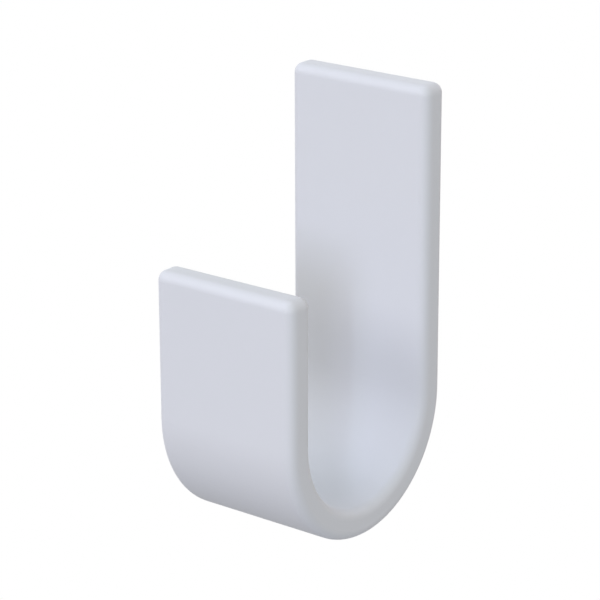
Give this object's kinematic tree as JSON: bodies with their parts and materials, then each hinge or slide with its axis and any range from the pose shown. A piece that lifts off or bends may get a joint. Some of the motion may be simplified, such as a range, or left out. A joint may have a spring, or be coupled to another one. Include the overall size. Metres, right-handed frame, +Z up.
{
  "type": "adhesive hook",
  "caption": "J-shaped moulded plastic wall hook: a constant-thickness strip with rolled edges, held to a smooth wall by a foam tape pad on its flat back.",
  "frame": {"origin": "centre of the foam pad's wall face, on the plane of the wall", "axes": "+Y into the wall, so the hook reaches out along -Y; +Z up along the back run; +X across the strip's width"},
  "size_m": [0.02, 0.0304, 0.0523],
  "materials": {
    "hook_plastic": "satin",
    "foam_tape": "matte"
  },
  "bodies": {
    "root": {"hook": "hook_plastic", "adhesive_pad": "foam_tape"}
  },
  "joints": []
}
